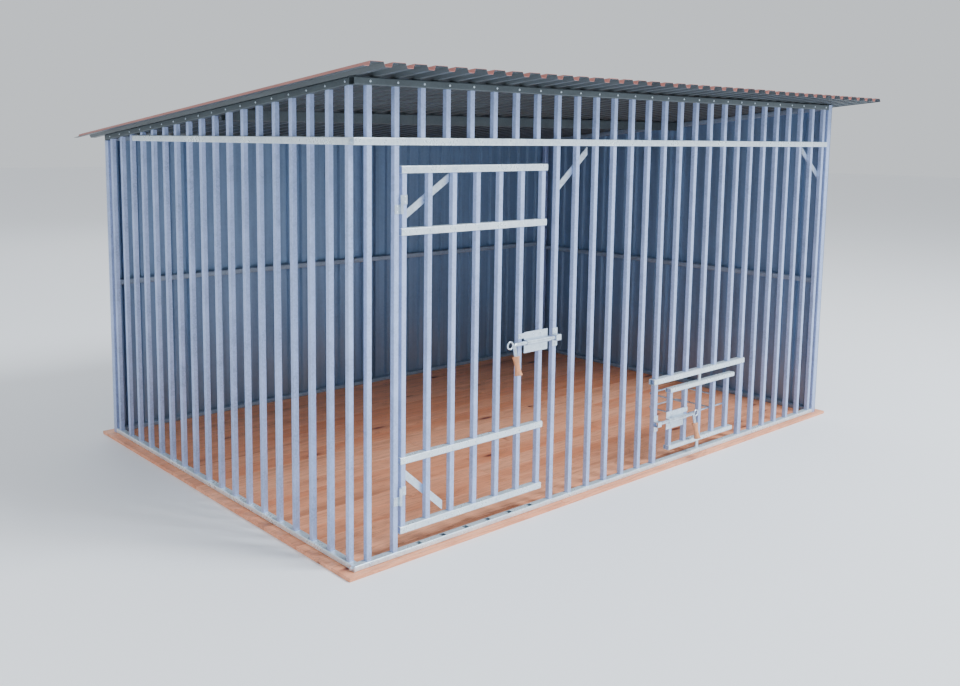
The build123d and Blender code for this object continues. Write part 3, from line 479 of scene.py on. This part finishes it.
def head_tree(name, sides, share, hexagon):
    """Geometry nodes that put a fastener head on every point: a flange with a dome or a hexagon."""
    tree = bpy.data.node_groups.new(name, "GeometryNodeTree")
    face = tree.interface
    face.new_socket("Points", in_out="INPUT", socket_type="NodeSocketGeometry")
    for label, kind, default in (("Sides", "NodeSocketInt", sides),
                                 ("Rings", "NodeSocketInt", DOME_RINGS),
                                 ("Flange", "NodeSocketFloat", share),
                                 ("Material", "NodeSocketMaterial", None)):
        socket = face.new_socket(label, in_out="INPUT", socket_type=kind)
        if default is not None:
            socket.default_value = default
    face.new_socket("Heads", in_out="OUTPUT", socket_type="NodeSocketGeometry")

    def node(kind, **settings):
        made = tree.nodes.new(kind)
        for key, value in settings.items():
            setattr(made, key, value)
        return made

    def link(source, target):
        tree.links.new(source, target)

    given = node("NodeGroupInput")
    flange = node("GeometryNodeMeshCylinder", fill_type="NGON")
    link(given.outputs["Sides"], flange.inputs["Vertices"])
    link(given.outputs["Flange"], flange.inputs["Depth"])
    flange.inputs["Radius"].default_value = 1.0
    half = node("ShaderNodeMath", operation="MULTIPLY")
    link(given.outputs["Flange"], half.inputs[0])
    half.inputs[1].default_value = 0.5
    lift = node("ShaderNodeCombineXYZ")
    link(half.outputs[0], lift.inputs["Z"])
    raised = node("GeometryNodeTransform")
    link(flange.outputs["Mesh"], raised.inputs["Geometry"])
    link(lift.outputs[0], raised.inputs["Translation"])
    if hexagon:
        head = node("GeometryNodeMeshCylinder", fill_type="NGON")
        head.inputs["Vertices"].default_value = 6
        head.inputs["Radius"].default_value = HEXAGON_RADIUS
        head.inputs["Depth"].default_value = 1.0
        move = (0.0, 0.0, 0.5)
        scale = (1.0, 1.0, 1.0)
    else:
        head = node("GeometryNodeMeshUVSphere")
        link(given.outputs["Sides"], head.inputs["Segments"])
        link(given.outputs["Rings"], head.inputs["Rings"])
        head.inputs["Radius"].default_value = 1.0
        move = (0.0, 0.0, 0.0)
        scale = (DOME_RADIUS, DOME_RADIUS, 1.0)
    placed = node("GeometryNodeTransform")
    link(head.outputs["Mesh"], placed.inputs["Geometry"])
    placed.inputs["Translation"].default_value = move
    placed.inputs["Scale"].default_value = scale
    smooth = node("GeometryNodeSetShadeSmooth")
    link(placed.outputs[0], smooth.inputs["Geometry"])
    smooth.inputs["Shade Smooth"].default_value = not hexagon
    both = node("GeometryNodeJoinGeometry")
    link(raised.outputs[0], both.inputs[0])
    link(smooth.outputs[0], both.inputs[0])
    aim = node("GeometryNodeInputNamedAttribute", data_type="FLOAT_VECTOR")
    aim.inputs["Name"].default_value = "aim"
    size = node("GeometryNodeInputNamedAttribute", data_type="FLOAT_VECTOR")
    size.inputs["Name"].default_value = "size"
    turn = node("FunctionNodeAlignRotationToVector", axis="Z")
    link(aim.outputs["Attribute"], turn.inputs["Vector"])
    stamp = node("GeometryNodeInstanceOnPoints")
    link(given.outputs["Points"], stamp.inputs["Points"])
    link(both.outputs[0], stamp.inputs["Instance"])
    link(turn.outputs[0], stamp.inputs["Rotation"])
    link(size.outputs["Attribute"], stamp.inputs["Scale"])
    real = node("GeometryNodeRealizeInstances")
    link(stamp.outputs[0], real.inputs[0])
    dress = node("GeometryNodeSetMaterial")
    link(real.outputs[0], dress.inputs["Geometry"])
    link(given.outputs["Material"], dress.inputs["Material"])
    link(dress.outputs[0], node("NodeGroupOutput").inputs[0])
    return tree


def socket_key(tree, label):
    """Identifier of a tree's input."""
    return next(item.identifier for item in tree.interface.items_tree
                if item.name == label and item.in_out == "INPUT")


def stamped(name, places, tree, material):
    """A plain mesh with the tree's head on every place (foot, direction, radius, height)."""
    mesh = bpy.data.meshes.new(name + "_points")
    mesh.from_pydata([tuple(place[0]) for place in places], [], [])
    for label, values in (("aim", [place[1] for place in places]),
                          ("size", [(place[2], place[2], place[3]) for place in places])):
        layer = mesh.attributes.new(label, "FLOAT_VECTOR", "POINT")
        layer.data.foreach_set("vector", [number for value in values for number in value])
    holder = bpy.data.objects.new(name + "_points", mesh)
    bpy.context.scene.collection.objects.link(holder)
    modifier = holder.modifiers.new("Heads", "NODES")
    modifier.node_group = tree
    modifier[socket_key(tree, "Material")] = material
    bpy.context.view_layer.update()
    graph = bpy.context.evaluated_depsgraph_get()
    result = bpy.data.meshes.new_from_object(holder.evaluated_get(graph), depsgraph=graph)
    holder.modifiers.remove(modifier)
    bpy.data.objects.remove(holder)
    bpy.data.meshes.remove(mesh)
    for label in ("aim", "size"):
        if label in result.attributes:
            result.attributes.remove(result.attributes[label])
    result.name = name
    return result


def lathe(name, profile, sides, seat):
    """Closed body of revolution about Z from (radius, height) points, placed by a matrix."""
    work = bmesh.new()
    loops = []
    for radius, height in profile:
        ring = []
        for side in range(sides):
            angle = math.tau * side / sides
            ring.append(work.verts.new((radius * math.cos(angle), radius * math.sin(angle), height)))
        loops.append(ring)
    for low, high in zip(loops, loops[1:] + loops[:1]):
        for side in range(sides):
            nxt = (side + 1) % sides
            work.faces.new((low[side], low[nxt], high[nxt], high[side]))
    bmesh.ops.recalc_face_normals(work, faces=work.faces)
    for made in work.faces:
        made.smooth = True
    bmesh.ops.transform(work, matrix=seat, verts=work.verts)
    mesh = bpy.data.meshes.new(name)
    work.to_mesh(mesh)
    work.free()
    return mesh


# ------------------------------------------------------------------ pieces
def dress(names, material):
    """Give CAD nodes a material."""
    for name in names:
        data = NODES[name].data
        data.materials.clear()
        data.materials.append(material)


class PEN_OT_metal(bpy.types.Operator):
    """Finish the tubes, rails, fittings and sheets"""
    bl_idname = "pen.metal"
    bl_label = "Metal finishes"

    def execute(self, context):
        look = context.scene.pen_finish
        dress(BARS, galvanised("bar_zinc", look.bar_tint, metallic=0.45, rough=0.46))
        dress(RAILS, galvanised("rail_zinc", look.rail_tint, metallic=0.45, rough=0.30))
        # A darkened copy of the rail zinc for the rails inside: painted shade under the roof
        dress(INNER_RAILS, galvanised("inner_zinc_painted_shade", look.inner_painted_shade_tint, metallic=0.35, rough=0.50))
        # A darkened copy of the rail zinc for the rails under the roof: painted shade of the roof
        dress(EAVE_RAILS, galvanised("eave_painted_shade_zinc", look.eave_painted_shade_tint, metallic=0.10, rough=0.50))
        dress(FITTINGS, zinc_plate("fitting_zinc", look.fitting_tint))
        dress(WALL_SHEETS, wall_sheet("wall_sheet_zinc", look.sheet_tint))
        dress(ROOF_SHEETS, roof_sheet("roof_enamel", look.roof_top_tint, look.roof_under_tint))
        return {"FINISHED"}


class PEN_OT_floor(bpy.types.Operator):
    """Lay the floor boards, each with broken edges and its own tone"""
    bl_idname = "pen.floor"
    bl_label = "Floor boards"

    def execute(self, context):
        look = context.scene.pen_finish
        edge = context.scene.pen_detail.board_edge
        wood = board_wood("board_pine", look.board_tint, look.board_pale, look.knot_tint)
        work = merged_copy("floor_boards")
        bmesh.ops.dissolve_limit(work, angle_limit=FLAT_ANGLE, verts=work.verts, edges=work.edges)
        layer = work.verts.layers.float.new("board")
        draw = random.Random(SEED)
        for part in loose_parts(work):
            tone = draw.random()
            for vertex in part:
                vertex[layer] = tone
        bmesh.ops.bevel(work, geom=list(work.edges), offset=edge, offset_type="OFFSET", segments=2,
                        profile=0.6, affect="EDGES", clamp_overlap=True)
        bmesh.ops.recalc_face_normals(work, faces=work.faces)
        mesh = bpy.data.meshes.new("floor_planks")
        work.to_mesh(mesh)
        work.free()
        add_piece("floor_planks", mesh, wood, "pen", "floor_wood", "floor_boards")
        dress(("floor_battens",), wood)
        return {"FINISHED"}


class PEN_OT_rivets(bpy.types.Operator):
    """Set a flanged dome head at every rivet and screw of the frame, the door and the hatch"""
    bl_idname = "pen.rivets"
    bl_label = "Rivets"

    def execute(self, context):
        share = context.scene.pen_detail.washer_share
        zinc = zinc_plate("rivet_zinc", shade(context.scene.pen_finish.fitting_tint, 1.1))
        tree = head_tree("rivet_heads", RIVET_SIDES, share, False)
        for node, body in RIVETED:
            mesh = stamped(node + "_heads", seats(node), tree, zinc)
            add_piece(node + "_heads", mesh, zinc, body, "fittings_steel", node)
        return {"FINISHED"}


class PEN_OT_sheet_screws(bpy.types.Operator):
    """Set hexagon screws in the roof and wall sheets, with seals under the roof's"""
    bl_idname = "pen.sheet_screws"
    bl_label = "Sheet screws"

    def execute(self, context):
        detail = context.scene.pen_detail
        zinc = zinc_plate("screw_zinc", context.scene.pen_finish.fitting_tint)
        seal = seal_rubber("screw_seal")
        heads = head_tree("screw_heads", SCREW_SIDES, SCREW_FLANGE, True)
        discs = head_tree("screw_seals", SCREW_SIDES, SEAL_FLANGE, True)
        roof = seats("roof_screws")
        mesh = stamped("roof_screw_heads", roof, heads, zinc)
        add_piece("roof_screw_heads", mesh, zinc, "pen", "fittings_steel", "roof_screws")
        lifted = [(foot, aim, radius * SEAL_RADIUS, SEAL_HEIGHT) for foot, aim, radius, _ in roof]
        add_piece("roof_screw_seals", stamped("roof_screw_seals", lifted, discs, seal), seal, "pen",
                  "fittings_steel")
        walls = self.wall_seats(detail.screw_head * WALL_SCREW_RADIUS)
        add_piece("wall_screw_heads", stamped("wall_screw_heads", walls, heads, zinc), zinc, "pen",
                  "fittings_steel")
        return {"FINISHED"}

    @staticmethod
    def wall_seats(radius):
        """Screws on the outside of the rear and right sheets, in three level rows."""
        found = []
        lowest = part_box("floor_boards")[1].z + ROW_ABOVE_FLOOR
        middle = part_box("rear_rails")[1].z / 2
        for node, across, depth, count in (("rear_sheets", 0, 1, REAR_SCREWS),
                                           ("right_sheets", 1, 0, RIGHT_SCREWS)):
            low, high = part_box(node)
            out = Vector()
            out[depth] = 1.0
            levels = (lowest, middle, high.z - ROW_BELOW_TOP)
            span = high[across] - low[across]
            for index in range(count):
                along = low[across] + span * (index + 0.5) / count
                for level in levels:
                    foot = Vector()
                    foot[across] = along
                    foot[depth] = crest_at(node, along, across, depth)
                    foot.z = level
                    found.append((foot, out, radius, WALL_SCREW_HEIGHT))
        return found


def crest_at(node, along, across, depth):
    """Outer surface of an upright sheet at a place along it."""
    best = None
    for vertex in NODES[node].data.vertices:
        gap = abs(vertex.co[across] - along)
        if gap < CREST_REACH:
            best = vertex.co[depth] if best is None else max(best, vertex.co[depth])
    return best


class PEN_OT_grips(bpy.types.Operator):
    """Turn the wooden grips of both bolts"""
    bl_idname = "pen.grips"
    bl_label = "Turned grips"

    def execute(self, context):
        detail = context.scene.pen_detail
        wood = grip_wood("grip_beech", context.scene.pen_finish.grip_tint)
        for node, body in (("door_bolt_grip", "door_bolt"), ("hatch_bolt_grip", "hatch_bolt")):
            mesh = lathe(node + "_turned", self.profile(detail), GRIP_SIDES, self.seat(node, detail))
            add_piece(node + "_turned", mesh, wood, body, "grip_wood", node)
        return {"FINISHED"}

    @staticmethod
    def profile(detail):
        """Radius and height down the grip: rounded ends, a groove near each end and a waist."""
        end = detail.grip_end
        waist = detail.grip_waist
        length = detail.grip_length
        turns = [math.pi / 2 * step / GRIP_ROUND_STEPS for step in range(GRIP_ROUND_STEPS + 1)]
        points = [(detail.grip_bore, 0.0)]
        for turn in turns:
            inset = GRIP_ROUNDING * (1 - math.sin(turn))
            points.append((end - inset, GRIP_ROUNDING * (1 - math.cos(turn))))
        for step in range(1, GRIP_BODY_STEPS):
            share = step / GRIP_BODY_STEPS
            height = GRIP_ROUNDING + (length - 2 * GRIP_ROUNDING) * share
            radius = waist + (end - waist) * abs(2 * share - 1) ** GRIP_WAIST_POWER
            ring = min(abs(share - place) for place in GROOVE_PLACES)
            points.append((radius - GROOVE_DEPTH * max(0.0, 1 - ring / GROOVE_WIDTH), height))
        for turn in turns:
            inset = GRIP_ROUNDING * (1 - math.cos(turn))
            points.append((end - inset, length - GRIP_ROUNDING * (1 - math.sin(turn))))
        points.append((detail.grip_bore, length))
        return points

    @staticmethod
    def seat(node, detail):
        """Place of a grip's upper end, from its CAD box and the handle's lean."""
        low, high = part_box(node)
        lean = detail.grip_lean
        middle = (low + high) / 2
        run = Vector((0.0, -math.sin(lean), -math.cos(lean)))
        start = middle - run * detail.grip_length / 2
        return Matrix.Translation(start) @ Vector((0, 0, 1)).rotation_difference(run).to_matrix().to_4x4()


class PEN_OT_stage(bpy.types.Operator):
    """Set up the floor, the lights and the camera"""
    bl_idname = "pen.stage"
    bl_label = "Stage"

    def execute(self, context):
        stage = context.scene.pen_stage
        self.floor(stage)
        self.lights()
        self.camera(stage)
        return {"FINISHED"}

    @staticmethod
    def floor(stage):
        """Plain pale floor and an even pale surround."""
        mesh = bpy.data.meshes.new("studio_floor")
        half = FLOOR_HALF
        corners = [(-half, -half, 0), (half, -half, 0), (half, half, 0), (-half, half, 0)]
        mesh.from_pydata(corners, [], [(0, 1, 2, 3)])
        ground = bpy.data.objects.new("studio_floor", mesh)
        bpy.context.scene.collection.objects.link(ground)
        paint = Paint("studio_floor")
        mesh.materials.append(paint.finish((*stage.floor_tint, 1.0), 0.62))
        world = bpy.data.worlds.new("studio")
        bpy.context.scene.world = world
        world.use_nodes = True
        sky = world.node_tree.nodes["Background"]
        sky.inputs["Color"].default_value = SKY_COLOUR
        sky.inputs["Strength"].default_value = SKY_STRENGTH

    @staticmethod
    def lights():
        """Large soft lights: a high key at the front, a low fill from the left and one from behind."""
        for name, place, size, power in LIGHTS:
            data = bpy.data.lights.new("studio_" + name, "AREA")
            data.shape = "DISK"
            data.size = size
            data.energy = power
            data.color = LIGHT_COLOUR
            lamp = bpy.data.objects.new("studio_" + name, data)
            bpy.context.scene.collection.objects.link(lamp)
            lamp.location = place
            lamp.rotation_euler = (LIGHT_AIM - Vector(place)).to_track_quat("-Z", "Y").to_euler()

    @staticmethod
    def camera(stage):
        """Camera at the front left corner."""
        data = bpy.data.cameras.new("view")
        data.sensor_width = 36.0
        data.lens = stage.lens
        data.shift_x, data.shift_y = stage.shift
        data.clip_end = 200.0
        camera = bpy.data.objects.new("view", data)
        bpy.context.scene.collection.objects.link(camera)
        turn = (Euler((0.0, 0.0, -stage.camera_yaw)).to_matrix()
                @ Euler((math.pi / 2 - stage.camera_dip, 0.0, 0.0)).to_matrix()
                @ Euler((0.0, 0.0, stage.camera_roll)).to_matrix())
        camera.matrix_world = Matrix.Translation(stage.camera_place) @ turn.to_4x4()
        bpy.context.scene.camera = camera


class PEN_PT_panel(bpy.types.Panel):
    """Lists the pen's pieces"""
    bl_idname = "PEN_PT_panel"
    bl_label = "Barred pen"
    bl_space_type = "VIEW_3D"
    bl_region_type = "UI"
    bl_category = "Pen"

    def draw(self, context):
        for operator in OPERATORS:
            self.layout.operator(operator.bl_idname)
        for group in (context.scene.pen_finish, context.scene.pen_detail, context.scene.pen_stage):
            column = self.layout.column()
            for name in group.bl_rna.properties.keys():
                if name not in ("rna_type", "name"):
                    column.prop(group, name)


OPERATORS = (PEN_OT_metal, PEN_OT_floor, PEN_OT_rivets, PEN_OT_sheet_screws, PEN_OT_grips, PEN_OT_stage)
GROUPS = (PenFinish, PenDetail, PenStage)
CLASSES = GROUPS + OPERATORS + (PEN_PT_panel,)


def register():
    """Register the classes and put the settings on the scene."""
    for item in CLASSES:
        bpy.utils.register_class(item)
    bpy.types.Scene.pen_finish = bpy.props.PointerProperty(type=PenFinish)
    bpy.types.Scene.pen_detail = bpy.props.PointerProperty(type=PenDetail)
    bpy.types.Scene.pen_stage = bpy.props.PointerProperty(type=PenStage)


def unregister():
    """Take the settings and classes away."""
    for name in ("pen_finish", "pen_detail", "pen_stage"):
        delattr(bpy.types.Scene, name)
    for item in reversed(CLASSES):
        bpy.utils.unregister_class(item)


def main():
    """Build every piece."""
    register()
    bpy.ops.pen.metal()
    bpy.ops.pen.floor()
    bpy.ops.pen.rivets()
    bpy.ops.pen.sheet_screws()
    bpy.ops.pen.grips()
    bpy.ops.pen.stage()


if __name__ == "__main__":
    main()
